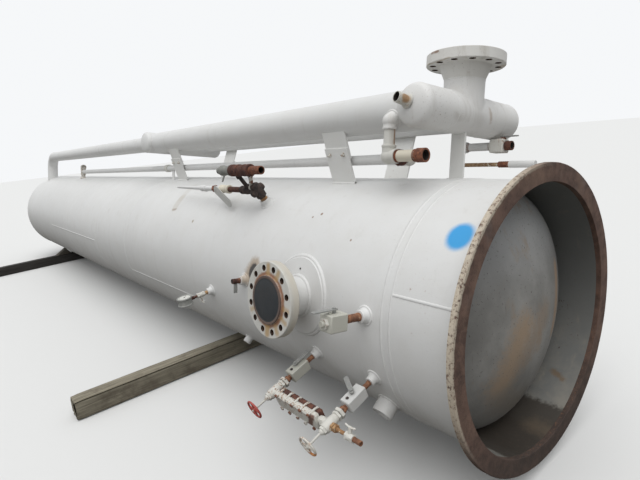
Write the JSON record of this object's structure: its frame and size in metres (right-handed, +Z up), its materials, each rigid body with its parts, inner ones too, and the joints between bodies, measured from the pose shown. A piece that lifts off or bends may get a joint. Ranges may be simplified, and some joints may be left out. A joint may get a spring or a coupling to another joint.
{
  "type": "glycol contactor tower laid on two timbers",
  "caption": "Dished-end pressure column on its side with an open skirt, a gas and glycol exchanger above it, flanged nozzles, a level gauge and timbers below.",
  "frame": {"origin": "on the floor under the middle of the vessel's length, between the two timbers' ends", "axes": "+X along the vessel towards its skirt and base ring, +Y to the far side, away from the inlet nozzle, +Z up"},
  "size_m": [10.103, 3.36, 2.1998],
  "materials": {
    "vessel_white": "old white paint, matt",
    "dome_grey": "dirty grey primer",
    "ring_rust": "rusted plate with a painted rim",
    "flange_white": "white paint with rust streaks",
    "cover_grey": "painted over",
    "pipe_white": "old white paint, matt",
    "post_white": "old white paint, matt",
    "fitting_rust": "rusted",
    "valve_steel": "dull, dirty steel",
    "gauge_case": "dull dark case",
    "handwheel_red": "faded red paint",
    "timber_grey": "rough weathered"
  },
  "bodies": {
    "root": {"shell": "vessel_white", "top_head": "vessel_white", "skirt": "vessel_white", "bottom_head": "dome_grey", "base_ring": "ring_rust", "inlet_nozzle": "flange_white", "nozzle_pad": "vessel_white", "nozzle_cover": "cover_grey", "outlet_header": "pipe_white", "outlet_flange": "flange_white", "return_header": "pipe_white", "exchanger_pipe": "pipe_white", "bypass_pipe": "pipe_white", "gas_line": "pipe_white", "post_feet": "post_white", "post_heads": "post_white", "header_post": "post_white", "glycol_line": "pipe_white", "line_coupling": "pipe_white", "line_support": "post_white", "drop_weldolet": "pipe_white", "drop_union": "pipe_white", "drop_tee": "pipe_white", "drain_end": "fitting_rust", "glycol_riser": "pipe_white", "header_coupling": "fitting_rust", "shell_bosses": "vessel_white", "shell_nipples": "fitting_rust", "gauge_blocks": "valve_steel", "gauge_unions": "fitting_rust", "gauge_cocks": "valve_steel", "gauge_body": "valve_steel", "gauge_handwheels": "handwheel_red", "gauge_drain": "fitting_rust", "side_valve": "valve_steel", "valve_levers": "valve_steel", "needle_valve": "valve_steel", "pressure_gauge": "gauge_case", "relief_body": "valve_steel", "relief_valve": "valve_steel", "relief_branch": "pipe_white", "bypass_drop": "fitting_rust", "bypass_valve": "valve_steel", "timbers": "timber_grey", "chocks": "timber_grey"}
  },
  "joints": []
}
